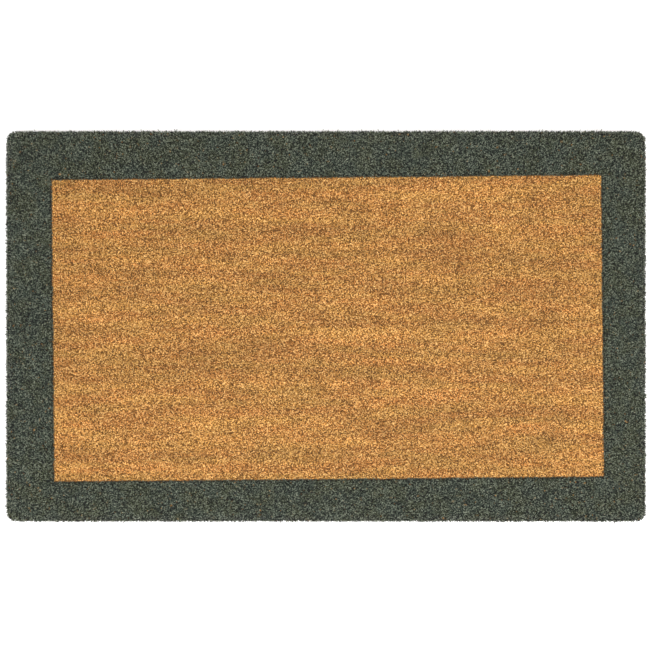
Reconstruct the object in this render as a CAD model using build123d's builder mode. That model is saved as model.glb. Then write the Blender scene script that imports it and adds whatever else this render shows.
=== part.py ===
from build123d import *
import math
import os

# A thick hand-woven coir door mat, in millimetres.
# X runs along the long side, Y along the short side, and Z up from the floor.
# The origin is the middle of the underside.

# The whole mat
LENGTH = 914.0
WIDTH = 559.0
THICKNESS = 38.0
CORNER_RADIUS = 15.0
EDGE_ROUND = 4.0

# Tuft rows: coir pile that runs along X, one row beside the next in Y
ROW_COUNT = 45
ROW_PITCH = 12.15
ROW_GAP = 0.15
FOOT_WIDTH = 5.6
GREEN_ROWS = 5

# Chain warps: pairs of yarns that run along Y and cross each other between the picks
PAIR_COUNT = 28
PAIR_PITCH = 32.4
PAIR_SPACING = 3.9
WARP_DIAMETER = 3.6
GREEN_PAIRS = 2

# Weft: one thick yarn that crosses between the rows and turns back at each side
WEFT_DIAMETER = 6.0
WEAVE_HEIGHT = 7.5
WEAVE_GAP = 0.1

# Edges: a cord along each side, the twine that lashes it and a knot at each corner
EDGE_CORD_DIAMETER = 4.6
EDGE_CORD_HALF_LENGTH = 266.4
HEADING_CORD_HALF_LENGTH = 445.5
TWINE_DIAMETER = 1.2
KNOT_RADIUS = 3.7
KNOT_X = 449.6
KNOT_Y = 270.4
CORD_GAP = 0.2

# What follows from those
half_length = LENGTH / 2
half_width = WIDTH / 2
pile_width = ROW_PITCH - ROW_GAP
weft_radius = WEFT_DIAMETER / 2
warp_radius = WARP_DIAMETER / 2
edge_cord_radius = EDGE_CORD_DIAMETER / 2
twine_radius = TWINE_DIAMETER / 2
wave_radius = weft_radius + warp_radius + WEAVE_GAP
wave_angle = math.asin(2 * wave_radius / ROW_PITCH)
pile_bottom = WEAVE_HEIGHT + wave_radius + warp_radius + 2 * WEAVE_GAP
foot_top = WEAVE_HEIGHT + weft_radius + 4 * WEAVE_GAP
slot_half_width = PAIR_SPACING / 2 + warp_radius + 3 * WEAVE_GAP
outer_pair = (PAIR_COUNT - 1) / 2 * PAIR_PITCH
field_half_length = outer_pair - (GREEN_PAIRS - 0.5) * PAIR_PITCH
heading_y = ROW_COUNT / 2 * ROW_PITCH
turn_x = outer_pair + PAIR_SPACING / 2 + warp_radius + WEAVE_GAP / 2
turn_radius = ROW_PITCH / 2
edge_cord_x = turn_x + turn_radius + weft_radius + CORD_GAP + edge_cord_radius

os.makedirs("parts", exist_ok=True)


def row_y(number):
    """Middle of a tuft row, counted from 1 at the front edge."""
    return (number - (ROW_COUNT + 1) / 2) * ROW_PITCH


def save(piece, name):
    """Label a finished piece and write it under its own name."""
    piece.label = name
    export_step(piece, f"parts/{name}.step")


def save_at(piece, y, name):
    """Write a copy of a row at its own place across the mat."""
    with BuildPart() as placed:
        with Locations((0, y, 0)):
            add(piece)
    save(placed.part, name)


# --- Tuft rows ---------------------------------------------------------------------------


def comb_outline():
    """Front view of a full row: pile above, and below it a foot between each two warp pairs."""
    points = [(-half_length, pile_bottom), (-half_length, THICKNESS)]
    points += [(half_length, THICKNESS), (half_length, pile_bottom)]
    for gap in range(PAIR_COUNT - 1, 0, -1):
        right_pair = (gap - (PAIR_COUNT - 1) / 2) * PAIR_PITCH
        foot_right = right_pair - slot_half_width
        foot_left = right_pair - PAIR_PITCH + slot_half_width
        points += [(foot_right, pile_bottom), (foot_right, 0)]
        points += [(foot_left, 0), (foot_left, pile_bottom)]
    return points


with BuildPart() as comb:
    with BuildSketch(Plane.XZ) as comb_face:
        with BuildLine():
            Polyline(*comb_outline(), close=True)
        make_face()
        upper_corners = comb_face.vertices().group_by(Axis.Y)[-1]
        fillet(upper_corners, radius=EDGE_ROUND)
    extrude(amount=2 * ROW_PITCH, both=True)


def row_prism(x_from, x_to, lean):
    """The comb cut to the cross-section of one row.

    The foot stands between two picks and the pile flares out above them. lean is -1 or 1 for
    the row whose pile leans out over the heading cord to the front or back edge, else 0.
    """
    foot = FOOT_WIDTH / 2
    front = pile_width / 2
    back = pile_width / 2
    edge = half_width - row_y(ROW_COUNT)
    if lean < 0:
        front = edge
    if lean > 0:
        back = edge
    with BuildPart() as row:
        with BuildSketch(Plane.YZ.offset(x_from)) as section:
            with BuildLine():
                Polyline(
                    (-foot, 0),
                    (foot, 0),
                    (foot, foot_top),
                    (back, pile_bottom),
                    (back, THICKNESS),
                    (-front, THICKNESS),
                    (-front, pile_bottom),
                    (-foot, foot_top),
                    close=True,
                )
            make_face()
            if lean:
                outer_corner = section.vertices().group_by(Axis.Y)[-1].sort_by(Axis.X)
                fillet(outer_corner[-1 if lean > 0 else 0], radius=EDGE_ROUND)
        extrude(amount=x_to - x_from)
        add(comb.part, mode=Mode.INTERSECT)
    return row.part


def edge_row(lean):
    """The first or last row, its two outer corners rounded in plan."""
    edge = half_width - row_y(ROW_COUNT)
    with BuildPart() as row:
        add(row_prism(-half_length, half_length, lean))
        with BuildSketch():
            with Locations((0, lean * (edge - half_width))):
                RectangleRounded(LENGTH, WIDTH, CORNER_RADIUS)
        extrude(amount=THICKNESS, mode=Mode.INTERSECT)
    return row.part


full_row = row_prism(-half_length, half_length, 0)
field_row = row_prism(-field_half_length, field_half_length, 0)
field_numbers = range(GREEN_ROWS + 1, ROW_COUNT - GREEN_ROWS + 1)

for number in range(1, ROW_COUNT + 1):
    if number == 1:
        shape = edge_row(-1)
    elif number == ROW_COUNT:
        shape = edge_row(1)
    elif number in field_numbers:
        shape = field_row
    else:
        shape = full_row
    save_at(shape, row_y(number), f"tuft_row_{number:02d}")

# The dyed ends of the field rows, one group of tufts on each side
for name, ends in (
    ("left_border_tufts", (-half_length, -field_half_length)),
    ("right_border_tufts", (field_half_length, half_length)),
):
    row_end = row_prism(*ends, 0)
    with BuildPart() as border_tufts:
        with Locations(*[(0, row_y(number), 0) for number in field_numbers]):
            add(row_end)
    save(border_tufts.part, name)

# --- Warps -------------------------------------------------------------------------------


def warp_yarn(first_side):
    """One warp that passes over and under the picks, from heading cord to heading cord.

    first_side is 1 if it passes over the front heading cord and -1 if it passes under it.
    """
    along = wave_radius * math.sin(wave_angle)
    rise = wave_radius * math.cos(wave_angle)
    with BuildPart() as yarn:
        with BuildLine() as route:
            left_at = None
            for crossing in range(ROW_COUNT + 1):
                side = first_side * (-1) ** crossing
                y = crossing * ROW_PITCH - heading_y
                shoulder = WEAVE_HEIGHT + side * rise
                reached = (0, y - along, shoulder)
                if left_at:
                    Line(left_at, reached)
                left_at = (0, y + along, shoulder)
                ThreePointArc(reached, (0, y, WEAVE_HEIGHT + side * wave_radius), left_at)
        path = route.wire()
        with BuildSketch(Plane(origin=path @ 0, z_dir=path % 0)):
            Circle(warp_radius)
        sweep()
    return yarn.part


for name, first_side in (("warp_yarns_over", 1), ("warp_yarns_under", -1)):
    yarn = warp_yarn(first_side)
    with BuildPart() as warps:
        with Locations((first_side * PAIR_SPACING / 2, 0, 0)):
            with GridLocations(PAIR_PITCH, 1, PAIR_COUNT, 1):
                add(yarn)
    save(warps.part, name)

# --- Weft --------------------------------------------------------------------------------

pick_count = ROW_COUNT - 1
turns = []

with BuildPart() as weft_yarn:
    with BuildLine() as weft_route:
        for pick in range(pick_count):
            side = (-1) ** pick
            y = (pick + 1) * ROW_PITCH - heading_y
            Line((-side * turn_x, y, WEAVE_HEIGHT), (side * turn_x, y, WEAVE_HEIGHT))
            if pick < pick_count - 1:
                turn_y = y + turn_radius
                turns.append((side, turn_y))
                ThreePointArc(
                    (side * turn_x, y, WEAVE_HEIGHT),
                    (side * (turn_x + turn_radius), turn_y, WEAVE_HEIGHT),
                    (side * turn_x, y + ROW_PITCH, WEAVE_HEIGHT),
                )
    weft_path = weft_route.wire()
    with BuildSketch(Plane(origin=weft_path @ 0, z_dir=weft_path % 0)):
        Circle(weft_radius)
    sweep()
save(weft_yarn.part, "weft_yarn")

# --- Edges -------------------------------------------------------------------------------

# Heading cords lie in the first and last shed, where the warps turn round them
for name, side in (("front_heading_cord", -1), ("back_heading_cord", 1)):
    with BuildPart() as heading_cord:
        with BuildSketch(Plane.YZ.offset(-HEADING_CORD_HALF_LENGTH)):
            with Locations((side * heading_y, WEAVE_HEIGHT)):
                Circle(weft_radius)
        extrude(amount=2 * HEADING_CORD_HALF_LENGTH)
    save(heading_cord.part, name)

# Edge cords run past the turns of the weft
for name, side in (("left_edge_cord", -1), ("right_edge_cord", 1)):
    with BuildPart() as edge_cord:
        with BuildSketch(Plane.XZ.offset(-EDGE_CORD_HALF_LENGTH)):
            with Locations((side * edge_cord_x, WEAVE_HEIGHT)):
                Circle(edge_cord_radius)
        extrude(amount=2 * EDGE_CORD_HALF_LENGTH)
    save(edge_cord.part, name)

# A loop of twine lashes each turn of the weft to the edge cord beside it
loop_radius = weft_radius + WEAVE_GAP + twine_radius
loop_inner = turn_x + turn_radius
loop_outer = edge_cord_x + edge_cord_radius + WEAVE_GAP + twine_radius - loop_radius

with BuildPart() as twine_loop:
    with BuildLine() as loop_route:
        top = WEAVE_HEIGHT + loop_radius
        bottom = WEAVE_HEIGHT - loop_radius
        Line((loop_inner, 0, top), (loop_outer, 0, top))
        ThreePointArc(
            (loop_outer, 0, top),
            (loop_outer + loop_radius, 0, WEAVE_HEIGHT),
            (loop_outer, 0, bottom),
        )
        Line((loop_outer, 0, bottom), (loop_inner, 0, bottom))
        ThreePointArc(
            (loop_inner, 0, bottom),
            (loop_inner - loop_radius, 0, WEAVE_HEIGHT),
            (loop_inner, 0, top),
        )
    loop_path = loop_route.wire()
    with BuildSketch(Plane(origin=loop_path @ 0, z_dir=loop_path % 0)):
        Circle(twine_radius)
    sweep()

with BuildPart() as edge_stitching:
    for side, turn_y in turns:
        with Locations(Location((0, turn_y, 0), (0, 0, 90 - 90 * side))):
            add(twine_loop.part)
save(edge_stitching.part, "edge_stitching")

# A knot at each corner ties the heading cord to the edge cord
with BuildPart() as corner_knots:
    with Locations((0, 0, WEAVE_HEIGHT)):
        with GridLocations(2 * KNOT_X, 2 * KNOT_Y, 2, 2):
            Sphere(KNOT_RADIUS)
save(corner_knots.part, "corner_knots")
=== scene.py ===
"""A hand-woven coir door mat with a natural field and a dyed green border.

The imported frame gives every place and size. This script grows the pile fibre by fibre on a bed for
each tuft row, lays up the twisted yarns of the weave under it, and lights the mat from above.
All sizes are in metres.
"""

import logging
import math
import random
from dataclasses import dataclass, field
from enum import Enum, IntEnum
from typing import Any, Iterable, Sequence

import bmesh
import bpy
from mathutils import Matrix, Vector


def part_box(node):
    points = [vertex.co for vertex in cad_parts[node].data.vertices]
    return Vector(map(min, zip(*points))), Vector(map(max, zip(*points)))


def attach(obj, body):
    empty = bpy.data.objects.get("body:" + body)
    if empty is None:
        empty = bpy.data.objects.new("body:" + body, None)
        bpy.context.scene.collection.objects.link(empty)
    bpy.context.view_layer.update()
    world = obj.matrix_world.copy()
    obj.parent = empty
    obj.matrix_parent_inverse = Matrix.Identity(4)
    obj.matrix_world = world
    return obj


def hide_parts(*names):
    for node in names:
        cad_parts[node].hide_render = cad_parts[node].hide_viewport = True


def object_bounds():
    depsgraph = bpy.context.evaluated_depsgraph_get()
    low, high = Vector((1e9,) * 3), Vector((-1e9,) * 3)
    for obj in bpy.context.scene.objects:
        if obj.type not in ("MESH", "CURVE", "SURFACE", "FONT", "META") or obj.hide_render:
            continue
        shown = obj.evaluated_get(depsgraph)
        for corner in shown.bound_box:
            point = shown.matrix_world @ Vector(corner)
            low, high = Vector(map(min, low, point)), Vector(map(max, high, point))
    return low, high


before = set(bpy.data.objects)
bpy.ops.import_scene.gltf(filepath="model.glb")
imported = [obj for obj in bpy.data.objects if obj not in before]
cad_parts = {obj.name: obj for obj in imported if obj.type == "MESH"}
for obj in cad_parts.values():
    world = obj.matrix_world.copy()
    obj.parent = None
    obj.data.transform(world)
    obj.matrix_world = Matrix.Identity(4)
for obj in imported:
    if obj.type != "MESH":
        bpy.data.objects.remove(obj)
CAD_LOW, CAD_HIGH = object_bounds()

MM = 0.001
NOISE_ROUGHNESS = 0.55
COIR_SHINE = 0.25
IN_PLAN = (1.0, 1.0, 0.0)
LOG = logging.getLogger("door_mat")

Point = tuple[float, float, float]
Colour = tuple[float, float, float, float]


# --- Node graphs -------------------------------------------------------------------------


class Value:
    """A socket that takes part in Python arithmetic: every operation adds a Math node."""

    def __init__(self, graph: "Graph", socket: bpy.types.NodeSocket) -> None:
        """Wrap a socket.

        Args:
            graph: The graph that the socket's node is in.
            socket: The output socket.
        """
        self.graph = graph
        self.socket = socket

    def __add__(self, other: Any) -> "Value":
        """Return self + other."""
        return self.graph.math("ADD", self, other)

    def __radd__(self, other: Any) -> "Value":
        """Return other + self."""
        return self.graph.math("ADD", other, self)

    def __sub__(self, other: Any) -> "Value":
        """Return self - other."""
        return self.graph.math("SUBTRACT", self, other)

    def __rsub__(self, other: Any) -> "Value":
        """Return other - self."""
        return self.graph.math("SUBTRACT", other, self)

    def __mul__(self, other: Any) -> "Value":
        """Return self * other."""
        return self.graph.math("MULTIPLY", self, other)

    def __rmul__(self, other: Any) -> "Value":
        """Return other * self."""
        return self.graph.math("MULTIPLY", other, self)

    def __truediv__(self, other: Any) -> "Value":
        """Return self / other."""
        return self.graph.math("DIVIDE", self, other)

    def __rtruediv__(self, other: Any) -> "Value":
        """Return other / self."""
        return self.graph.math("DIVIDE", other, self)

    def __abs__(self) -> "Value":
        """Return the absolute value."""
        return self.graph.math("ABSOLUTE", self)


class Graph:
    """A node tree that is built by calls, for materials and for Geometry Nodes alike."""

    def __init__(self, tree: bpy.types.NodeTree) -> None:
        """Take over a tree and clear it.

        Args:
            tree: The node tree to fill.
        """
        self.tree = tree
        tree.nodes.clear()

    def plug(self, target: bpy.types.NodeSocket, value: Any) -> None:
        """Feed a socket.

        Args:
            target: The input socket.
            value: A Value or a socket to link, or a plain value to set.
        """
        if isinstance(value, Value):
            value = value.socket
        if isinstance(value, bpy.types.NodeSocket):
            self.tree.links.new(value, target)
        else:
            target.default_value = value

    def node(self, kind: str, settings: dict[str, Any] | None = None,
             inputs: dict[str | int, Any] | None = None) -> bpy.types.Node:
        """Add a node of any kind.

        Args:
            kind: The node's type.
            settings: Its properties, set first.
            inputs: The values or links of its sockets, by name or by index.

        Returns:
            The new node.
        """
        made = self.tree.nodes.new(kind)
        for name, value in (settings or {}).items():
            setattr(made, name, value)
        for key, value in (inputs or {}).items():
            self.plug(self.socket(made.inputs, key), value)
        return made

    @staticmethod
    def socket(sockets: Any, key: str | int) -> bpy.types.NodeSocket:
        """Find a socket by index, or the first one in use by name.

        Args:
            sockets: A node's inputs or outputs.
            key: The socket's index or name.

        Returns:
            The socket.
        """
        if isinstance(key, int):
            return sockets[key]
        return next(s for s in sockets if s.name == key and s.enabled)

    def out(self, node: bpy.types.Node, key: str | int = 0) -> Value:
        """Wrap one of a node's outputs.

        Args:
            node: The node.
            key: The output's index or name.

        Returns:
            The output as a Value.
        """
        return Value(self, self.socket(node.outputs, key))

    def math(self, operation: str, *operands: Any) -> Value:
        """Add a Math node.

        Args:
            operation: The node's operation.
            operands: Values or numbers for its sockets, in order.

        Returns:
            The result.
        """
        inputs = dict(enumerate(operands))
        return self.out(self.node("ShaderNodeMath", {"operation": operation}, inputs))

    def vector_math(self, operation: str, *operands: Any) -> Value:
        """Add a Vector Math node.

        Args:
            operation: The node's operation.
            operands: Values or vectors for its sockets, in order.

        Returns:
            The result.
        """
        inputs = dict(enumerate(operands))
        return self.out(self.node("ShaderNodeVectorMath", {"operation": operation}, inputs))

    def scale(self, vector: Any, factor: Any) -> Value:
        """Multiply a vector by a number.

        Args:
            vector: The vector.
            factor: The number.

        Returns:
            The scaled vector.
        """
        inputs = {"Vector": vector, "Scale": factor}
        return self.out(self.node("ShaderNodeVectorMath", {"operation": "SCALE"}, inputs))

    def ramp(self, value: Any, low: float, high: float, to_low: float = 0.0,
             to_high: float = 1.0, smooth: bool = True) -> Value:
        """Map a value from one range to another, held at both ends.

        Args:
            value: The value.
            low: Where the range begins.
            high: Where it ends.
            to_low: The result at low.
            to_high: The result at high.
            smooth: True eases in and out.

        Returns:
            The mapped value.
        """
        kind = "SMOOTHSTEP" if smooth else "LINEAR"
        inputs = {"Value": value, "From Min": low, "From Max": high,
                  "To Min": to_low, "To Max": to_high}
        return self.out(self.node("ShaderNodeMapRange", {"interpolation_type": kind}, inputs))

    def mix(self, factor: Any, first: Any, second: Any) -> Value:
        """Mix two colours.

        Args:
            factor: How much of the second, from 0 to 1.
            first: A colour.
            second: Another colour.

        Returns:
            The mixed colour.
        """
        inputs = {"Factor": factor, "A": first, "B": second}
        return self.out(self.node("ShaderNodeMix", {"data_type": "RGBA"}, inputs), "Result")

    def split(self, vector: Any) -> tuple[Value, Value, Value]:
        """Separate a vector.

        Args:
            vector: The vector.

        Returns:
            Its X, Y and Z.
        """
        made = self.node("ShaderNodeSeparateXYZ", inputs={0: vector})
        return self.out(made, 0), self.out(made, 1), self.out(made, 2)

    def join(self, x: Any, y: Any, z: Any) -> Value:
        """Combine three numbers into a vector.

        Args:
            x: The X part.
            y: The Y part.
            z: The Z part.

        Returns:
            The vector.
        """
        return self.out(self.node("ShaderNodeCombineXYZ", inputs={0: x, 1: y, 2: z}))

    def noise(self, place: Any, scale: float, detail: float, stretch: Point | None = None,
              colour: bool = False) -> Value:
        """Add a noise texture.

        Args:
            place: The coordinates.
            scale: Features per metre.
            detail: Octaves of finer noise.
            stretch: What to multiply the coordinates by first.
            colour: True for three independent channels.

        Returns:
            The noise, about 0.5.
        """
        if stretch:
            place = self.vector_math("MULTIPLY", place, stretch)
        made = self.node("ShaderNodeTexNoise", {"noise_dimensions": "3D"}, {
            "Vector": place, "Scale": scale, "Detail": detail, "Roughness": NOISE_ROUGHNESS})
        return self.out(made, "Color" if colour else 0)

    def surface(self, inputs: dict[str, Any]) -> None:
        """End a material with one principled shader.

        Args:
            inputs: The values or links of the shader's sockets.
        """
        shader = self.node("ShaderNodeBsdfPrincipled", inputs=inputs)
        self.node("ShaderNodeOutputMaterial", inputs={"Surface": self.out(shader)})


class GeometryTree(Graph):
    """A Geometry Nodes tree with named inputs."""

    def __init__(self, name: str) -> None:
        """Make an empty tree with a geometry input and output.

        Args:
            name: The tree's name.
        """
        super().__init__(bpy.data.node_groups.new(name, "GeometryNodeTree"))
        face = self.tree.interface
        face.new_socket("Geometry", in_out="INPUT", socket_type="NodeSocketGeometry")
        face.new_socket("Geometry", in_out="OUTPUT", socket_type="NodeSocketGeometry")
        self.group_in = self.node("NodeGroupInput")
        self.group_out = self.node("NodeGroupOutput")

    def input(self, name: str, kind: str = "Float") -> Value:
        """Add a named input.

        Args:
            name: What the input is called.
            kind: Float, Int, Vector or Material.

        Returns:
            The input inside the tree.
        """
        self.tree.interface.new_socket(name, in_out="INPUT", socket_type=f"NodeSocket{kind}")
        return self.out(self.group_in, name)

    def geometry(self) -> Value:
        """Return the geometry that comes in."""
        return self.out(self.group_in, "Geometry")

    def random(self, low: float, high: float, seed: Any) -> Value:
        """Add a random number for each point.

        Args:
            low: The least.
            high: The most.
            seed: The seed, a number or an input.

        Returns:
            The random number.
        """
        made = self.node("FunctionNodeRandomValue", {"data_type": "FLOAT"},
                         {"Min": low, "Max": high, "Seed": seed})
        return self.out(made, "Value")

    def store(self, geometry: Any, name: str, value: Any) -> Value:
        """Store a number with each point.

        Args:
            geometry: The points.
            name: The attribute's name.
            value: The number.

        Returns:
            The points with the attribute.
        """
        settings = {"data_type": "FLOAT", "domain": "POINT"}
        inputs = {"Geometry": geometry, "Name": name, "Value": value}
        return self.out(self.node("GeometryNodeStoreNamedAttribute", settings, inputs))

    def gather(self, kind: str, *parts: Any) -> Value:
        """Feed several geometries to one node.

        Args:
            kind: The node's type, such as a join.
            parts: The geometries.

        Returns:
            The node's output.
        """
        made = self.node(kind)
        for part in parts:
            self.plug(made.inputs[0], part)
        return self.out(made)

    def smooth(self, geometry: Any) -> Value:
        """Return the geometry shaded smooth."""
        return self.out(self.node("GeometryNodeSetShadeSmooth", inputs={"Geometry": geometry}))

    def finish(self, geometry: Any, material: Any) -> None:
        """End the tree: realize instances and set the material.

        Args:
            geometry: The geometry to hand on.
            material: The material input.
        """
        real = self.out(self.node("GeometryNodeRealizeInstances", inputs={"Geometry": geometry}))
        dressed = self.node("GeometryNodeSetMaterial", inputs={"Geometry": real, "Material": material})
        self.plug(self.group_out.inputs["Geometry"], self.out(dressed))

    def grow(self, source: bpy.types.Object, name: str, values: dict[str, Any]) -> bpy.types.Object:
        """Run the tree on an object and keep the result as a plain mesh.

        Args:
            source: The object whose geometry goes in. It is removed afterwards.
            name: The new piece's name.
            values: The named inputs' values.

        Returns:
            The new piece, with no modifier.
        """
        modifier = source.modifiers.new("grow", "NODES")
        modifier.node_group = self.tree
        named = {item.name: item.identifier for item in self.tree.interface.items_tree
                 if item.in_out == "INPUT"}
        for key, value in values.items():
            modifier[named[key]] = value
        graph = bpy.context.evaluated_depsgraph_get()
        mesh = bpy.data.meshes.new_from_object(source.evaluated_get(graph), depsgraph=graph,
                                               preserve_all_data_layers=True)
        bpy.data.objects.remove(source)
        mesh.name = name
        return link(bpy.data.objects.new(name, mesh))


def link(made: bpy.types.Object) -> bpy.types.Object:
    """Put an object into the scene.

    Args:
        made: The object.

    Returns:
        The same object.
    """
    bpy.context.scene.collection.objects.link(made)
    return made


# --- Finishes ----------------------------------------------------------------------------


def blank_material(name: str) -> tuple[bpy.types.Material, Graph]:
    """Make an empty material.

    Args:
        name: The material's name.

    Returns:
        The material and the graph to fill.
    """
    made = bpy.data.materials.new(name)
    made.use_nodes = True
    return made, Graph(made.node_tree)


@dataclass(frozen=True)
class Streaks:
    """Noise, drawn out one way or even, and what its low and high parts stand for."""

    scale: float
    detail: float
    low: float
    high: float
    to_low: float = 0.0
    to_high: float = 1.0
    stretch: Point | None = None

    def over(self, g: Graph, place: Value) -> Value:
        """Return the streaks' value at each place."""
        noise = g.noise(place, self.scale, self.detail, self.stretch)
        return g.ramp(noise, self.low, self.high, self.to_low, self.to_high)


@dataclass(frozen=True)
class Stencil:
    """The rectangle that the dyer's stencil kept natural, as it lay on this mat."""

    half_length: float = 391.3 * MM
    half_width: float = 214.6 * MM
    turn: float = math.radians(0.52)
    slip: Point = (2.5 * MM, -2.6 * MM, 0.0)
    wander: float = 2.6 * MM
    wander_scale: float = 45.0
    bleed: float = 1.6 * MM


@dataclass(frozen=True)
class CoirPileFinish:
    """Sheared coir: natural fibre, dyed green outside the stencil down to a certain depth.

    Wear is how far inside the outline it begins and how far inside it is full. Contrast is
    that of the packed fibre and of the tips. Deep in the pile the colour is darkened as painted
    shade.
    """

    stencil: Stencil = Stencil()
    natural_dark: Colour = (0.185, 0.080, 0.018, 1.0)
    natural_mid: Colour = (0.66, 0.322, 0.078, 1.0)
    natural_light: Colour = (0.98, 0.61, 0.225, 1.0)
    natural_red: Colour = (0.63, 0.255, 0.062, 1.0)
    natural_yellow: Colour = (0.695, 0.375, 0.090, 1.0)
    green_dark: Colour = (0.005, 0.006, 0.004, 1.0)
    green_mid: Colour = (0.068, 0.085, 0.054, 1.0)
    green_light: Colour = (0.245, 0.268, 0.198, 1.0)
    green_blue: Colour = (0.060, 0.082, 0.067, 1.0)
    green_olive: Colour = (0.078, 0.085, 0.041, 1.0)
    rim_grey: Colour = (0.105, 0.098, 0.100, 1.0)
    dye_low: float = 10.0 * MM
    dye_high: float = 22.0 * MM
    dye_edge: float = 0.5 * MM
    soak: float = 10.0 * MM
    soak_scale: float = 60.0
    line_width: float = 3.2 * MM
    line_shade: float = 0.55
    fringe: float = 3.0 * MM
    fringe_lift: float = 1.12
    wear: tuple[float, float] = (14.0 * MM, 2.0 * MM)
    wear_share: float = 0.6
    depth: float = 6.0 * MM
    strand: float = 620.0
    strand_stretch: Point = (1.0, 1.0, 0.08)
    contrast: tuple[float, float] = (3.5, 1.8)
    contrast_fade: float = 2.5 * MM
    # Painted shade: deep in the pile the colour is scaled down to this share, and it is full only near
    # the tips
    painted_shade_deep: float = 0.52
    painted_shade_tip_gap: float = 1.0 * MM
    dark_tones: tuple[float, float] = (0.05, 0.40)
    light_tones: tuple[float, float] = (0.60, 0.98)
    natural_evenness: float = 0.25
    green_evenness: float = 0.4
    roughness: float = 0.82
    hue: Streaks = Streaks(62.0, 3.0, 0.36, 0.64, stretch=(0.14, 1.0, 0.0))
    batch: Streaks = Streaks(41.0, 3.0, 0.33, 0.67, 0.90, 1.10, stretch=(0.05, 1.0, 0.0))
    patch: Streaks = Streaks(24.0, 2.0, 0.33, 0.67, 0.93, 1.07, stretch=(0.6, 1.0, 0.0))
    bath: Streaks = Streaks(38.0, 3.0, 0.40, 0.60)
    worn: Streaks = Streaks(30.0, 2.0, 0.3, 0.7)
    missed: Streaks = Streaks(210.0, 1.0, 0.70, 0.77, 0.0, 0.45)

    def material(self, name: str) -> bpy.types.Material:
        """Build the material.

        Args:
            name: The material's name.

        Returns:
            The material.
        """
        made, g = blank_material(name)
        place = g.out(g.node("ShaderNodeTexCoord"), "Object")
        tone = g.out(g.node("ShaderNodeAttribute", {"attribute_name": "tone"}), "Fac")
        packed = CAD_HIGH[2] - self.depth
        strand = g.noise(place, self.strand, 0.0, self.strand_stretch) - 0.5
        _, _, height = g.split(place)
        tone = tone + strand * g.ramp(height, packed, packed + self.contrast_fade, *self.contrast)
        outside = self.outside(g, place, tone)
        colour = g.mix(self.dye(g, place, outside), self.natural(g, place, tone, outside),
                       self.green(g, place, tone, outside))
        # Painted shade: the colour darkens from near the tips down to the packed fibre, where the pile
        # lies in shade
        painted_depth_shade = g.ramp(height, packed, CAD_HIGH[2] - self.painted_shade_tip_gap, self.painted_shade_deep, 1.0)
        g.surface({"Base Color": g.scale(colour, painted_depth_shade), "Roughness": self.roughness,
                   "Specular IOR Level": COIR_SHINE})
        return made

    def shades(self, g: Graph, tone: Value, dark: Colour, mid: Any, light: Colour) -> Value:
        """Spread the fibres from dark through middling to light.

        Args:
            g: The material's graph.
            tone: The fibre's own number, from 0 to 1.
            dark: The darkest fibres.
            mid: The bulk of them.
            light: The palest ones.

        Returns:
            The colour.
        """
        lower = g.mix(g.ramp(tone, *self.dark_tones, smooth=False), dark, mid)
        return g.mix(g.ramp(tone, *self.light_tones, smooth=False), lower, light)

    def natural(self, g: Graph, place: Value, tone: Value, outside: Value) -> Value:
        """Return natural coir, streaked along the rows.

        Args:
            g: The material's graph.
            place: Object coordinates.
            tone: The fibre's own number.
            outside: How far outside the stencil a point is.

        Returns:
            The colour.
        """
        mid = g.mix(self.hue.over(g, place), self.natural_red, self.natural_yellow)
        mid = g.mix(self.natural_evenness, mid, self.natural_mid)
        streak = self.batch.over(g, place) * self.patch.over(g, place)
        edge = g.ramp(outside, -self.fringe, 0.0, 1.0, self.fringe_lift)
        colour = self.shades(g, tone, self.natural_dark, mid, self.natural_light)
        return g.scale(colour, streak * edge)

    def green(self, g: Graph, place: Value, tone: Value, outside: Value) -> Value:
        """Return dyed coir: bluish or olive patches, a darker line along the stencil's edge, and
        greyer, worn fibre at the sides of the mat.

        Args:
            g: The material's graph.
            place: Object coordinates.
            tone: The fibre's own number.
            outside: How far outside the stencil a point is.

        Returns:
            The colour.
        """
        mid = g.mix(self.bath.over(g, place), self.green_olive, self.green_blue)
        mid = g.mix(self.green_evenness, mid, self.green_mid)
        x, y, _ = g.split(place)
        rim = g.math("MAXIMUM", abs(x) - CAD_HIGH[0], abs(y) - CAD_HIGH[1])
        worn = g.ramp(rim, -self.wear[0], -self.wear[1]) * self.worn.over(g, place)
        mid = g.mix(worn * self.wear_share, mid, self.rim_grey)
        colour = self.shades(g, tone, self.green_dark, mid, self.green_light)
        colour = g.mix(self.missed.over(g, place), colour, self.natural_mid)
        line = g.ramp(abs(outside - self.line_width / 2), 0.0, self.line_width,
                      self.line_shade, 1.0)
        return g.scale(colour, line)

    def outside(self, g: Graph, place: Value, tone: Value) -> Value:
        """Return how far a point is outside the stencil's slightly wandering edge.

        Args:
            g: The material's graph.
            place: Object coordinates.
            tone: The fibre's own number.

        Returns:
            The distance in metres, negative inside.
        """
        s = self.stencil
        laid = g.node("ShaderNodeMapping", {"vector_type": "TEXTURE"},
                      {"Vector": place, "Location": s.slip, "Rotation": (0.0, 0.0, s.turn)})
        x, y, _ = g.split(g.out(laid))
        distance = g.math("MAXIMUM", abs(x) - s.half_length, abs(y) - s.half_width)
        wander = (g.noise(place, s.wander_scale, 3.0, IN_PLAN) - 0.5) * s.wander
        return distance + wander + (tone - 0.5) * s.bleed

    def dye(self, g: Graph, place: Value, outside: Value) -> Value:
        """Return how much dye took: all of it outside the stencil and near the tips.

        Args:
            g: The material's graph.
            place: Object coordinates.
            outside: How far outside the stencil a point is.

        Returns:
            The share of dye, from 0 to 1.
        """
        _, _, height = g.split(place)
        soaked = height + (g.noise(place, self.soak_scale, 2.0, IN_PLAN) - 0.5) * self.soak
        over = g.ramp(outside, -self.dye_edge, self.dye_edge)
        return over * g.ramp(soaked, self.dye_low, self.dye_high)


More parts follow.
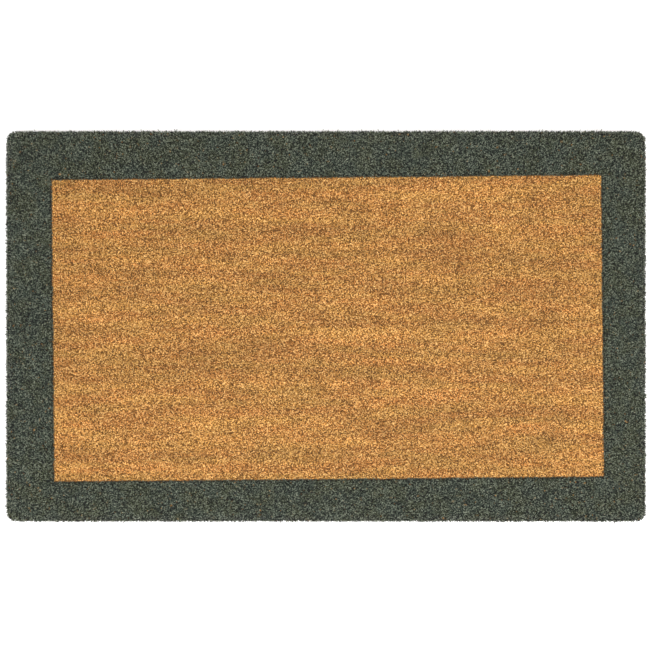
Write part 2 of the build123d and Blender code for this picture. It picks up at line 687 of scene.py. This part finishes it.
@dataclass(frozen=True)
class YarnFinish:
    """Twisted coir yarn: brown fibre with paler and darker strands."""

    dark: Colour
    mid: Colour
    light: Colour
    strand: float = 160.0
    ring: float = 12.0 * MM
    relief: float = 0.30 * MM
    relief_strength: float = 0.6
    dark_to_mid: tuple[float, float] = (0.30, 0.55)
    mid_to_light: tuple[float, float] = (0.55, 0.75)
    roughness: tuple[float, float] = (0.9, 0.7)
    blotches: Streaks = Streaks(35.0, 2.0, 0.35, 0.65, 0.0, 0.35)

    def material(self, name: str) -> bpy.types.Material:
        """Build the material.

        Args:
            name: The material's name.

        Returns:
            The material.
        """
        made, g = blank_material(name)
        place = g.out(g.node("ShaderNodeTexCoord"), "Object")
        along = g.out(g.node("ShaderNodeAttribute", {"attribute_name": "along"}), "Fac")
        around = g.out(g.node("ShaderNodeAttribute", {"attribute_name": "around"}), "Fac")
        angle = around * math.tau
        strands = g.join(along, g.math("COSINE", angle) * self.ring,
                         g.math("SINE", angle) * self.ring)
        fine = g.noise(strands, self.strand, 4.0)
        colour = g.mix(g.ramp(fine, *self.dark_to_mid), self.dark, self.mid)
        colour = g.mix(g.ramp(fine, *self.mid_to_light), colour, self.light)
        colour = g.mix(self.blotches.over(g, place), colour, self.dark)
        bump = g.node("ShaderNodeBump", inputs={
            "Strength": self.relief_strength, "Distance": self.relief, "Height": fine})
        g.surface({"Base Color": colour, "Roughness": g.ramp(fine, 0.3, 0.7, *self.roughness),
                   "Normal": g.out(bump), "Specular IOR Level": COIR_SHINE})
        return made


# --- Where the weave lies ----------------------------------------------------------------


@dataclass
class Weave:
    """The places of the rows, the warp pairs and the picks, read from the frame."""

    pair_count: int = 28
    gap: float = 0.1 * MM
    foot_clearance: float = 0.8 * MM
    arc_steps: int = 4

    def __post_init__(self) -> None:
        """Read the spacings from the CAD nodes' boxes."""
        self.row_count = sum(name.startswith("tuft_row_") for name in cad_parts)
        self.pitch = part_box("tuft_row_03")[0][1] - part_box("tuft_row_02")[0][1]
        self.front = -self.row_count / 2 * self.pitch
        over_low, over_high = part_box("warp_yarns_over")
        under_low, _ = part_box("warp_yarns_under")
        weft_low, weft_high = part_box("weft_yarn")
        self.height = (weft_low[2] + weft_high[2]) / 2
        self.weft_radius = (weft_high[2] - weft_low[2]) / 2
        self.warp_radius = ((over_high[2] - over_low[2]) / 2 - self.weft_radius - self.gap) / 2
        self.swing = self.weft_radius + self.warp_radius + self.gap
        self.pile_bottom = over_high[2] + 2 * self.gap
        self.pair_spacing = over_low[0] - under_low[0]
        outer_pair = over_high[0] - self.warp_radius - self.pair_spacing / 2
        self.pair_pitch = 2 * outer_pair / (self.pair_count - 1)
        self.foot_length = (self.pair_pitch - self.pair_spacing - 2 * self.warp_radius
                            - self.foot_clearance)
        self.turn_x = weft_high[0] - self.weft_radius - self.pitch / 2

    def row_y(self, number: float) -> float:
        """Return the place along Y of a row, counted from 0 at the front."""
        return self.front + (number + 0.5) * self.pitch

    def pair_x(self, number: float) -> float:
        """Return the place along X of a warp pair, counted from 0 at the left."""
        return (number - (self.pair_count - 1) / 2) * self.pair_pitch

    def gaps(self, ends: tuple[float, float]) -> list[float]:
        """Find the gaps between the warp pairs.

        Args:
            ends: Where to look, along X.

        Returns:
            The middles of the gaps that lie between the ends.
        """
        middles = [self.pair_x(number + 0.5) for number in range(self.pair_count - 1)]
        return [x for x in middles if ends[0] < x < ends[1]]

    def warp_route(self, x: float, first_side: int) -> list[Point]:
        """Lead one warp over and under the picks.

        Args:
            x: The warp's place along X.
            first_side: 1 if it passes over the front heading cord, -1 if under it.

        Returns:
            The route from the front to the back.
        """
        wave = math.asin(2 * self.swing / self.pitch)
        route = []
        for crossing in range(self.row_count + 1):
            side = first_side * (-1) ** crossing
            y = self.front + crossing * self.pitch
            for step in range(-self.arc_steps // 2, self.arc_steps // 2 + 1):
                angle = 2 * wave * step / self.arc_steps
                route.append((x, y + self.swing * math.sin(angle),
                              self.height + side * self.swing * math.cos(angle)))
        return route

    def weft_route(self) -> list[Point]:
        """Lead the weft to and fro through every shed and return its route."""
        half = self.pitch / 2
        route = []
        for pick in range(self.row_count - 1):
            side = (-1) ** pick
            y = self.front + (pick + 1) * self.pitch
            route += [(-side * self.turn_x, y, self.height), (side * self.turn_x, y, self.height)]
            if pick < self.row_count - 2:
                for step in range(1, 2 * self.arc_steps):
                    angle = math.pi * step / (2 * self.arc_steps)
                    route.append((side * (self.turn_x + half * math.sin(angle)),
                                  y + half - half * math.cos(angle), self.height))
        return route

    def turns(self) -> list[tuple[int, float]]:
        """Return the side, -1 or 1, and the place along Y of each turn of the weft."""
        return [((-1) ** pick, self.front + (pick + 1.5) * self.pitch)
                for pick in range(self.row_count - 2)]


# --- Yarns and cords ---------------------------------------------------------------------


@dataclass(frozen=True)
class Twist:
    """How one kind of yarn is twisted up."""

    radius: float
    plies: int = 2
    lay: float = 12.0 * MM
    step: float = 2.9 * MM
    corners: int = 6
    pinch: float = 0.30


@dataclass
class YarnWork:
    """The twisted yarns of the ground weave, and the cords, lashing and knots at its edges."""

    ground: YarnFinish
    cord: YarnFinish
    weave: Weave
    warp_lay: float = 11.0 * MM
    twine_radius: float = 0.6 * MM
    knot_rope: float = 1.15 * MM
    knot_points: int = 36
    knot_height: float = 1.6
    loop_points: int = 16
    pieces: list[bpy.types.Object] = field(default_factory=list)

    def build(self) -> list[bpy.types.Object]:
        """Lay up every yarn and cord.

        Returns:
            The pieces.
        """
        self.tree = self.twist_tree()
        self.warps()
        self.weft()
        self.cords()
        self.lashing()
        self.knots()
        return self.pieces

    def warps(self) -> None:
        """Twist the two sets of warps."""
        w = self.weave
        coat = self.ground.material("warp_yarn")
        for node, side in (("warp_yarns_over", 1), ("warp_yarns_under", -1)):
            routes = [w.warp_route(w.pair_x(pair) + side * w.pair_spacing / 2, side)
                      for pair in range(w.pair_count)]
            twist = Twist(w.warp_radius, lay=self.warp_lay)
            self.lay_up(node, routes, twist, coat)

    def weft(self) -> None:
        """Twist the weft."""
        twist = Twist(self.weave.weft_radius, lay=21.0 * MM, step=5.0 * MM)
        self.lay_up("weft_yarn", [self.weave.weft_route()], twist,
                    self.ground.material("weft_yarn"))

    def cords(self) -> None:
        """Twist the heading cords and the edge cords."""
        coat = self.cord.material("edge_cord")
        for node in ("front_heading_cord", "back_heading_cord",
                     "left_edge_cord", "right_edge_cord"):
            low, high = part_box(node)
            middle = (low + high) / 2
            radius = (high[2] - low[2]) / 2
            if high[0] - low[0] > high[1] - low[1]:
                ends = [(low[0], middle[1], middle[2]), (high[0], middle[1], middle[2])]
            else:
                ends = [(middle[0], low[1], middle[2]), (middle[0], high[1], middle[2])]
            twist = Twist(radius, plies=3, lay=16.0 * MM, step=1.6 * MM, corners=12)
            self.lay_up(node, [ends], twist, coat)

    def lashing(self) -> None:
        """Loop the twine round each turn of the weft and the edge cord beside it."""
        w = self.weave
        low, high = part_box("edge_stitching")
        radius = (high[2] - low[2]) / 2 - self.twine_radius
        inner = w.turn_x + w.pitch / 2
        outer = high[0] - radius - self.twine_radius
        routes = []
        for side, y in w.turns():
            route = []
            for step in range(self.loop_points):
                angle = math.tau * (step + 0.5) / self.loop_points
                centre = outer if math.cos(angle) > 0 else inner
                route.append((side * (centre + radius * math.cos(angle)), y,
                              w.height + radius * math.sin(angle)))
            routes.append(route)
        twist = Twist(self.twine_radius, lay=5.0 * MM, step=0.9 * MM)
        self.lay_up("edge_stitching", routes, twist, self.cord.material("lashing_twine"),
                    closed=True)

    def knots(self) -> None:
        """Tie an overhand knot at each corner."""
        low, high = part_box("corner_knots")
        ball = (high[2] - low[2]) / 2
        trefoil_reach = 3
        scale = (ball - self.knot_rope) / trefoil_reach
        routes = []
        for x in (low[0] + ball, high[0] - ball):
            for y in (low[1] + ball, high[1] - ball):
                route = []
                for step in range(self.knot_points):
                    t = math.tau * step / self.knot_points
                    route.append((x + scale * (math.sin(t) + 2 * math.sin(2 * t)),
                                  y + scale * (math.cos(t) - 2 * math.cos(2 * t)),
                                  self.weave.height
                                  - self.knot_height * scale * math.sin(3 * t)))
                routes.append(route)
        twist = Twist(self.knot_rope, lay=6.0 * MM, step=0.9 * MM)
        self.lay_up("corner_knots", routes, twist, self.cord.material("knot_twine"),
                    closed=True)

    def lay_up(self, node: str, routes: Sequence[Sequence[Point]], twist: Twist,
               coat: bpy.types.Material, closed: bool = False) -> None:
        """Twist yarn along some routes and hand the piece to the frame.

        Args:
            node: The CAD node that the piece stands for.
            routes: The points that each yarn follows.
            twist: How the yarn is twisted.
            coat: Its material.
            closed: True if the yarns are loops.
        """
        data = bpy.data.curves.new(node, "CURVE")
        data.dimensions = "3D"
        for route in routes:
            spline = data.splines.new("POLY")
            spline.points.add(len(route) - 1)
            for point, place in zip(spline.points, route):
                point.co = (*place, 1.0)
            spline.use_cyclic_u = closed
        source = link(bpy.data.objects.new(node, data))
        piece = self.tree.grow(source, f"{node}_twisted", {
            "Yarn radius": twist.radius, "Plies": float(twist.plies),
            "Length of a twist": twist.lay, "Step": twist.step, "Corners": twist.corners,
            "Pinch": twist.pinch, "Material": coat})
        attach(piece, "root")
        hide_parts(node)
        self.pieces.append(piece)

    def twist_tree(self) -> GeometryTree:
        """Build the tree that sweeps a lobed, turning section along curves.

        Returns:
            The tree.
        """
        t = GeometryTree("twisted_yarn")
        radius = t.input("Yarn radius")
        plies = t.input("Plies")
        lay = t.input("Length of a twist")
        step = t.input("Step")
        corners = t.input("Corners", "Int")
        pinch = t.input("Pinch")
        material = t.input("Material", "Material")

        route = t.out(t.node("GeometryNodeResampleCurve", {"mode": "LENGTH"},
                             {"Curve": t.geometry(), "Length": step}))
        spline = t.node("GeometryNodeSplineParameter")
        whole = t.out(t.node("GeometryNodeSplineLength"), "Length")
        turns = t.math("ROUND", whole / lay)
        turn = t.out(spline, "Factor") * turns * math.tau
        turned = t.out(t.node("GeometryNodeSetCurveTilt", inputs={"Curve": route, "Tilt": turn}))
        marked = t.store(turned, "along", t.out(spline, "Length"))

        ring = t.out(t.node("GeometryNodeCurvePrimitiveCircle", inputs={
            "Resolution": corners, "Radius": 1.0}), "Curve")
        around = t.out(spline, "Factor")
        lobe = abs(t.math("COSINE", around * math.pi * plies))
        swell = radius * (1.0 - pinch + lobe * pinch)
        place = t.out(t.node("GeometryNodeInputPosition"))
        shaped = t.out(t.node("GeometryNodeSetPosition", inputs={
            "Geometry": ring, "Position": t.scale(place, swell)}))
        section = t.store(shaped, "around", around)
        swept = t.out(t.node("GeometryNodeCurveToMesh", inputs={
            "Curve": marked, "Profile Curve": section, "Fill Caps": True}))
        t.finish(t.smooth(swept), material)
        return t


# --- The pile ----------------------------------------------------------------------------


class Rim(Enum):
    """The sides of the mat, by the corner of a row's bed that each starts at."""

    FRONT = 0
    RIGHT = 1
    BACK = 2
    LEFT = 3


@dataclass(frozen=True)
class RimWear:
    """How the pile falls away at the sides of the mat, and the fibres that stray past them."""

    drop: float
    width: float
    ragged: float
    fray_scale: float = 260.0
    fray: float = 2.0
    scallop: float = 0.5
    trim: tuple[float, float] = (-0.5, 0.4)
    stray: float = 3.2 * MM
    stray_share: float = 0.035


class Draw(IntEnum):
    """What is drawn at random for each fibre, as a step from the row's seed."""

    LEAN_X = 11
    LEAN_Y = 12
    OUTWARD = 13
    CUT = 14
    LENGTH = 15
    TONE = 16
    SPIN = 17
    THICKNESS = 18
    TRIM = 19
    KIND = 20
    STRAY = 21


@dataclass(frozen=True)
class Fibre:
    """Sizes of the coir itself. A taper is the radius at the tip and at the root."""

    radius: float = 0.52 * MM
    thickness: tuple[float, float] = (0.75, 1.3)
    per_m2: float = 490_000.0
    bed_drop: float = 6.4 * MM
    rim_length: float = 24.0 * MM
    rim_shortest: float = 0.6
    fine_share: float = 0.60
    fine_taper: tuple[float, float] = (0.0, 1.3)
    blunt_taper: tuple[float, float] = (0.75, 1.0)
    tone_spread: float = 0.9


@dataclass(frozen=True)
class Clumps:
    """How neighbouring fibres lean together, in run per rise, and how evenly they are cut.

    Shade leads from a clump's low and high numbers to what they add to its fibres' tone. It is
    painted shade: the clumps that sag lower get darker fibres.
    """

    scale: float = 760.0
    stretch: Point = (1.0, 0.75, 0.3)
    lean: tuple[float, float] = (0.8, 1.15)
    own_lean: tuple[float, float] = (0.18, 0.26)
    outward: tuple[float, float] = (0.22, 0.55)
    sag: float = 1.6 * MM
    cut: tuple[float, float] = (-0.7 * MM, 0.5 * MM)
    # Painted shade: the taller clumps get a lighter tone than the ones that sag
    shade: tuple[float, float, float, float] = (0.3, 0.7, 0.1, 0.0)


@dataclass
class Pile:
    """The tuft rows: each a bed of packed fibre with cut fibres on it and tuft feet under it."""

    finish: CoirPileFinish
    weave: Weave
    fibre: Fibre = Fibre()
    clumps: Clumps = Clumps()
    full_share: float = 0.95
    seed_step: int = 100
    rim_inset: float = 4.5 * MM
    bed_corner: float = 9.0 * MM
    corner_steps: int = 3
    # Painted shade: the beds get a low tone, so the packed fibre seen between the standing fibres is
    # darker
    bed_painted_shade_tone: float = 0.22
    mat_corner: float = 15.0 * MM
    side_wear: RimWear = RimWear(drop=4.0 * MM, width=5.0 * MM, ragged=2.1 * MM)
    foot_radius: float = 2.7 * MM
    foot_corners: int = 5
    foot_fill: float = 0.56
    foot_overlap: float = 1.0 * MM
    foot_belly: float = 3.5 * MM
    foot_swell: tuple[float, float, float] = (0.85, 1.0, 0.6)
    foot_shades: tuple[float, float] = (0.25, 0.75)
    feet_per_gap: int = 4
    pieces: list[bpy.types.Object] = field(default_factory=list)

    def build(self) -> list[bpy.types.Object]:
        """Grow every row and both groups of dyed row ends.

        Returns:
            The pieces.
        """
        self.tree = self.fibre_tree()
        self.coat = self.finish.material("coir_pile")
        names = sorted(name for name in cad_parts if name.startswith("tuft_row_"))
        self.top = CAD_HIGH[2]
        length = CAD_HIGH[0] - CAD_LOW[0]
        field_rows = []
        for number, name in enumerate(names):
            low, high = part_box(name)
            full = high[0] - low[0] > self.full_share * length
            rims = {Rim.LEFT, Rim.RIGHT} if full else set()
            if number == 0:
                rims.add(Rim.FRONT)
            if number == len(names) - 1:
                rims.add(Rim.BACK)
            if not full:
                field_rows.append(number)
            self.plant(name, [number], (low[0], high[0]), rims, number)
        for name, rim in (("left_border_tufts", Rim.LEFT), ("right_border_tufts", Rim.RIGHT)):
            low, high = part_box(name)
            number = len(names) + rim.value
            self.plant(name, field_rows, (low[0], high[0]), {rim}, number)
        return self.pieces

    def plant(self, name: str, rows: Sequence[int], ends: tuple[float, float], rims: set[Rim],
              seed: int) -> None:
        """Build the beds of one CAD node, grow their fibres and hand the piece to the frame.

        Args:
            name: The CAD node that the piece stands for.
            rows: The numbers of the rows, counted from the front.
            ends: Where the rows begin and end along X.
            rims: The sides that are on the mat's outline.
            seed: The seed of its fibres.
        """
        shape = bmesh.new()
        grow = shape.faces.layers.float.new("grow")
        tone = shape.verts.layers.float.new("tone")
        for number in rows:
            self.bed(shape, grow, tone, self.outline(self.weave.row_y(number), ends, rims))
            self.feet(shape, tone, self.weave.row_y(number), ends, seed)
        mesh = bpy.data.meshes.new("bed")
        shape.to_mesh(mesh)
        shape.free()
        source = link(bpy.data.objects.new("bed", mesh))
        piece = self.tree.grow(source, f"{name}_pile", {
            "Fibres per square metre": self.fibre.per_m2, "Fibre radius": self.fibre.radius,
            "Share of fine fibres": self.fibre.fine_share, "Shear height": self.top,
            "Rim length": self.fibre.rim_length,
            "Half size": (CAD_HIGH[0], CAD_HIGH[1], 0.0), "Corner radius": self.mat_corner,
            "Rim drop": self.side_wear.drop, "Rim width": self.side_wear.width,
            "Rim raggedness": self.side_wear.ragged, "Row pitch": self.weave.pitch,
            "Stray length": self.side_wear.stray, "Share of strays": self.side_wear.stray_share,
            "Seed": seed * self.seed_step, "Material": self.coat})
        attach(piece, "root")
        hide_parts(name)
        self.pieces.append(piece)

    def outline(self, middle: float, ends: tuple[float, float],
                rims: set[Rim]) -> list[tuple[float, float, bool]]:
        """Draw a row's bed in plan.

        Args:
            middle: The row's place along Y.
            ends: Where it begins and ends along X.
            rims: The sides that are on the mat's outline.

        Returns:
            Corners, anticlockwise from the front left, each with whether the side that starts
            there is on the outline.
        """
        half = self.weave.pitch / 2
        sides = {Rim.FRONT: middle - half, Rim.RIGHT: ends[1], Rim.BACK: middle + half,
                 Rim.LEFT: ends[0]}
        edges = {Rim.FRONT: CAD_LOW[1] + self.rim_inset, Rim.RIGHT: CAD_HIGH[0] - self.rim_inset,
                 Rim.BACK: CAD_HIGH[1] - self.rim_inset, Rim.LEFT: CAD_LOW[0] + self.rim_inset}
        sides.update({rim: edges[rim] for rim in rims})
        order = list(Rim)
        corners = []
        for index, rim in enumerate(order):
            before = order[index - 1]
            x = sides[Rim.LEFT] if Rim.LEFT in (rim, before) else sides[Rim.RIGHT]
            y = sides[Rim.FRONT] if Rim.FRONT in (rim, before) else sides[Rim.BACK]
            if rim in rims and before in rims:
                corners += self.round_corner(x, y, 180 + 90 * index)
            else:
                corners.append((x, y, rim in rims))
        return corners

    def round_corner(self, x: float, y: float, turn: int) -> list[tuple[float, float, bool]]:
        """Round one outer corner of a bed.

        Args:
            x: The corner's X.
            y: The corner's Y.
            turn: The heading in degrees from the arc's centre to where the arc begins.

        Returns:
            Points along the arc.
        """
        middle = math.radians(turn + 45)
        centre_x = x - math.copysign(self.bed_corner, math.cos(middle))
        centre_y = y - math.copysign(self.bed_corner, math.sin(middle))
        points = []
        for step in range(self.corner_steps + 1):
            angle = math.radians(turn + 90 * step / self.corner_steps)
            points.append((centre_x + self.bed_corner * math.cos(angle),
                           centre_y + self.bed_corner * math.sin(angle), True))
        return points

    def bed(self, shape: bmesh.types.BMesh, grow: Any, tone: Any,
            corners: Sequence[tuple[float, float, bool]]) -> None:
        """Add one closed bed and mark the faces that grow fibre.

        Args:
            shape: The mesh to add to.
            grow: The layer that marks the faces.
            tone: The layer of its tone, set low as painted shade.
            corners: The bed in plan.
        """
        bed_top = self.top - self.fibre.bed_drop
        lower = [shape.verts.new((x, y, self.weave.pile_bottom)) for x, y, _ in corners]
        upper = [shape.verts.new((x, y, bed_top)) for x, y, _ in corners]
        # Painted shade: the bed's low tone darkens the packed fibre seen between the fibres
        for vert in lower + upper:
            vert[tone] = self.bed_painted_shade_tone
        shape.faces.new(upper)[grow] = 1.0
        shape.faces.new(lower[::-1])
        for index, (_, _, on_rim) in enumerate(corners):
            following = (index + 1) % len(corners)
            side = shape.faces.new((lower[index], lower[following],
                                    upper[following], upper[index]))
            side[grow] = float(on_rim)

    def feet(self, shape: bmesh.types.BMesh, tone: Any, y: float, ends: tuple[float, float],
             seed: int) -> None:
        """Add the bent roots of the tufts, which show from below between the warp pairs.

        Args:
            shape: The mesh to add to.
            tone: The layer of each root's shade.
            y: The row's place along Y.
            ends: Where the row begins and ends along X.
            seed: The seed of their shades.
        """
        rng = random.Random(seed)
        spacing = self.weave.foot_length / self.feet_per_gap
        for gap_x in self.weave.gaps(ends):
            for index in range(self.feet_per_gap):
                x = gap_x + (index - (self.feet_per_gap - 1) / 2) * spacing
                shade = rng.uniform(*self.foot_shades)
                half_size = (spacing * self.foot_fill, self.foot_radius)
                self.foot(shape, tone, (x, y), half_size, shade)

    def foot(self, shape: bmesh.types.BMesh, tone: Any, place: tuple[float, float],
             half_size: tuple[float, float], shade: float) -> None:
        """Add one closed root that narrows where the tuft bends back up.

        Args:
            shape: The mesh to add to.
            tone: The layer of each root's shade.
            place: The root's X and Y.
            half_size: How far it reaches along X and Y.
            shade: Its shade.
        """
        rings = []
        heights = (self.weave.pile_bottom + self.foot_overlap, self.foot_belly, 0.0)
        for height, swell in zip(heights, self.foot_swell):
            ring = []
            for corner in range(self.foot_corners):
                angle = math.tau * (corner + 0.5) / self.foot_corners
                vert = shape.verts.new((place[0] + half_size[0] * swell * math.cos(angle),
                                        place[1] + half_size[1] * swell * math.sin(angle),
                                        height))
                vert[tone] = shade
                ring.append(vert)
            rings.append(ring)
        made = [shape.faces.new(rings[0]), shape.faces.new(rings[-1][::-1])]
        for upper, lower in zip(rings, rings[1:]):
            for corner in range(self.foot_corners):
                following = (corner + 1) % self.foot_corners
                made.append(shape.faces.new((lower[corner], lower[following],
                                             upper[following], upper[corner])))
        for face in made:
            face.smooth = True

    @staticmethod
    def cone(t: GeometryTree, taper: tuple[float, float]) -> Value:
        """Make one fibre, three-sided and one unit long.

        Args:
            t: The tree.
            taper: The radius at the tip and at the root.

        Returns:
            The fibre.
        """
        made = t.node("GeometryNodeMeshCone", {"fill_type": "NGON"}, {
            "Vertices": 3, "Side Segments": 1, "Radius Top": taper[0],
            "Radius Bottom": taper[1], "Depth": 1.0})
        return t.smooth(t.out(made, "Mesh"))

    def fibre_tree(self) -> GeometryTree:
        """Build the tree that plants fibres on a bed, leans them and shears them.

        Returns:
            The tree.
        """
        t = GeometryTree("coir_fibres")
        density = t.input("Fibres per square metre")
        radius = t.input("Fibre radius")
        fine_share = t.input("Share of fine fibres")
        shear = t.input("Shear height")
        reach = t.input("Rim length")
        half_size = t.input("Half size", "Vector")
        corner = t.input("Corner radius")
        drop = t.input("Rim drop")
        drop_width = t.input("Rim width")
        ragged = t.input("Rim raggedness")
        pitch = t.input("Row pitch")
        stray = t.input("Stray length")
        stray_share = t.input("Share of strays")
        seed = t.input("Seed", "Int")
        material = t.input("Material", "Material")

        grow = t.out(t.node("GeometryNodeInputNamedAttribute", {"data_type": "FLOAT"},
                            {"Name": "grow"}), "Attribute")
        planted = t.node("GeometryNodeDistributePointsOnFaces", inputs={
            "Mesh": t.geometry(), "Density": density * grow, "Seed": seed})
        place = t.out(t.node("GeometryNodeInputPosition"))
        x, y, z = t.split(place)

        # Neighbours lean together in small clumps, mostly forwards or backwards
        c = self.clumps
        clump = t.noise(place, c.scale, 2.0, c.stretch, colour=True)
        clump_x, clump_y, clump_z = t.split(clump)
        own_x = t.random(-c.own_lean[0], c.own_lean[0], seed + Draw.LEAN_X)
        own_y = t.random(-c.own_lean[1], c.own_lean[1], seed + Draw.LEAN_Y)
        lean_x = (clump_x - 0.5) * c.lean[0] + own_x
        lean_y = (clump_y - 0.5) * c.lean[1] + own_y
        out_x, out_y, _ = t.split(t.out(planted, "Normal"))
        outward = t.random(*c.outward, seed + Draw.OUTWARD)
        cut = shear - clump_z * c.sag + t.random(*c.cut, seed + Draw.CUT)
        rise = cut - z
        tip_x = x + (lean_x + out_x * outward) * rise
        tip_y = y + (lean_y + out_y * outward) * rise

        # The shears leave rounded corners, and a slightly ragged, scalloped outline
        half_x, half_y, _ = t.split(half_size)
        wear = self.side_wear
        frayed = t.noise(place, wear.fray_scale, 2.0) - 0.5
        scallop = t.math("COSINE", y / pitch * math.tau) * abs(out_x)
        spare = ragged * (frayed * wear.fray + scallop * wear.scallop
                          + t.random(*wear.trim, seed + Draw.TRIM))
        strays = t.math("LESS_THAN", t.random(0.0, 1.0, seed + Draw.STRAY), stray_share)
        spare = spare + strays * stray
        over_x = t.math("MAXIMUM", abs(tip_x) - half_x + corner, 0.0)
        over_y = t.math("MAXIMUM", abs(tip_y) - half_y + corner, 0.0)
        past = t.math("SQRT", over_x * over_x + over_y * over_y)
        kept = t.math("MINIMUM", (corner + spare) / t.math("MAXIMUM", past, 0.1 * MM), 1.0)
        trim_x = t.math("SIGN", tip_x) * (abs(tip_x) - over_x + over_x * kept)
        trim_y = t.math("SIGN", tip_y) * (abs(tip_y) - over_y + over_y * kept)
        inside = corner - past * kept

        # Near the outline the pile falls away a little
        fall = drop * t.ramp(inside, 0.0, drop_width, 1.0, 0.0)
        heading = t.vector_math("NORMALIZE", t.join(trim_x - x, trim_y - y, rise))
        _, _, climb = t.split(heading)
        to_shear = (rise - fall) / climb
        shortened = reach * t.random(self.fibre.rim_shortest, 1.0, seed + Draw.LENGTH)
        length = t.math("MINIMUM", to_shear, shortened)

        own_tone = t.random(0.0, 1.0, seed + Draw.TONE) * self.fibre.tone_spread
        # Painted shade: clumps that sag lower from the shears get a darker tone
        tone = own_tone + t.ramp(clump_z, *c.shade)
        toned = t.store(t.out(planted, "Points"), "tone", tone)

        # A gathering socket counts the last link first, so the fine fibre is instance 1
        kinds = t.gather("GeometryNodeGeometryToInstance", self.cone(t, self.fibre.fine_taper),
                         self.cone(t, self.fibre.blunt_taper))
        spin = t.node("FunctionNodeEulerToRotation", inputs={
            0: t.join(0.0, 0.0, t.random(0.0, math.tau, seed + Draw.SPIN))})
        turned = t.node("FunctionNodeAlignRotationToVector", {"axis": "Z"}, {
            "Rotation": t.out(spin), "Vector": heading})
        thick = radius * t.random(*self.fibre.thickness, seed + Draw.THICKNESS)
        choice = t.math("LESS_THAN", t.random(0.0, 1.0, seed + Draw.KIND), fine_share)
        stood = t.node("GeometryNodeInstanceOnPoints", inputs={
            "Points": toned, "Instance": kinds, "Pick Instance": True, "Instance Index": choice,
            "Rotation": t.out(turned), "Scale": t.join(thick, thick, length)})
        t.finish(t.gather("GeometryNodeJoinGeometry", t.geometry(), t.out(stood)), material)
        return t


# --- Studio ------------------------------------------------------------------------------


@dataclass
class Studio:
    """A white floor, soft light from above, and a camera that looks straight down."""

    height: float = 3.2
    margin: float = 1.0122
    aim: tuple[float, float] = (-1.4 * MM, 2.1 * MM)
    sensor: float = 36.0
    floor_half: float = 8.0
    floor_paint: Colour = (0.92, 0.92, 0.92, 1.0)
    floor_roughness: float = 0.9
    key_energy: float = 124.0
    key_size: float = 1.6
    key_place: Point = (0.1, -0.5, 2.5)
    sky: float = 1.1

    def build(self) -> None:
        """Make the floor, the lights, the sky and the camera."""
        scene = bpy.context.scene
        scene.view_settings.view_transform = "Standard"
        self.floor()
        self.lights()
        data = bpy.data.cameras.new("camera")
        top = CAD_HIGH[2]
        data.sensor_width = self.sensor
        view_width = (CAD_HIGH[0] - CAD_LOW[0]) * self.margin
        data.lens = self.sensor * (self.height - top) / view_width
        camera = link(bpy.data.objects.new("camera", data))
        camera.location = (self.aim[0], self.aim[1], self.height)
        scene.camera = camera

    def floor(self) -> None:
        """Lay the pale floor."""
        half = self.floor_half
        mesh = bpy.data.meshes.new("floor")
        mesh.from_pydata([(-half, -half, 0), (half, -half, 0), (half, half, 0), (-half, half, 0)],
                         [], [(0, 1, 2, 3)])
        floor = link(bpy.data.objects.new("floor", mesh))
        paint, g = blank_material("floor_paint")
        g.surface({"Base Color": self.floor_paint, "Roughness": self.floor_roughness})
        mesh.materials.append(paint)

    def lights(self) -> None:
        """Hang a large soft light and fill the rest with an even sky."""
        data = bpy.data.lights.new("softbox", "AREA")
        data.energy = self.key_energy
        data.size = self.key_size
        lamp = link(bpy.data.objects.new("softbox", data))
        lamp.location = self.key_place
        lamp.rotation_euler = (Vector((0, 0, 0)) - lamp.location).to_track_quat("-Z", "Y").to_euler()
        world = bpy.data.worlds.new("sky")
        bpy.context.scene.world = world
        world.use_nodes = True
        g = Graph(world.node_tree)
        shader = g.node("ShaderNodeBackground", inputs={
            "Color": (1.0, 1.0, 1.0, 1.0), "Strength": self.sky})
        g.node("ShaderNodeOutputWorld", inputs={"Surface": g.out(shader)})


def report(pieces: Iterable[bpy.types.Object]) -> None:
    """Log each piece and its triangles.

    Args:
        pieces: The pieces.
    """
    total = 0
    for piece in pieces:
        piece.data.calc_loop_triangles()
        count = len(piece.data.loop_triangles)
        total += count
        LOG.info("%s: %d triangles", piece.name, count)
    LOG.info("%d triangles in all", total)


def main() -> None:
    """Build the mat in order and report each piece."""
    logging.basicConfig(level=logging.INFO, format="%(name)s %(message)s")
    Studio().build()
    weave = Weave()
    ground = YarnFinish(dark=(0.13, 0.060, 0.020, 1.0), mid=(0.33, 0.17, 0.07, 1.0),
                        light=(0.56, 0.35, 0.17, 1.0))
    cord = YarnFinish(dark=(0.10, 0.048, 0.018, 1.0), mid=(0.27, 0.14, 0.06, 1.0),
                      light=(0.50, 0.31, 0.15, 1.0))
    pieces = Pile(CoirPileFinish(), weave).build()
    pieces += YarnWork(ground, cord, weave).build()
    report(pieces)


if __name__ == "__main__":
    main()
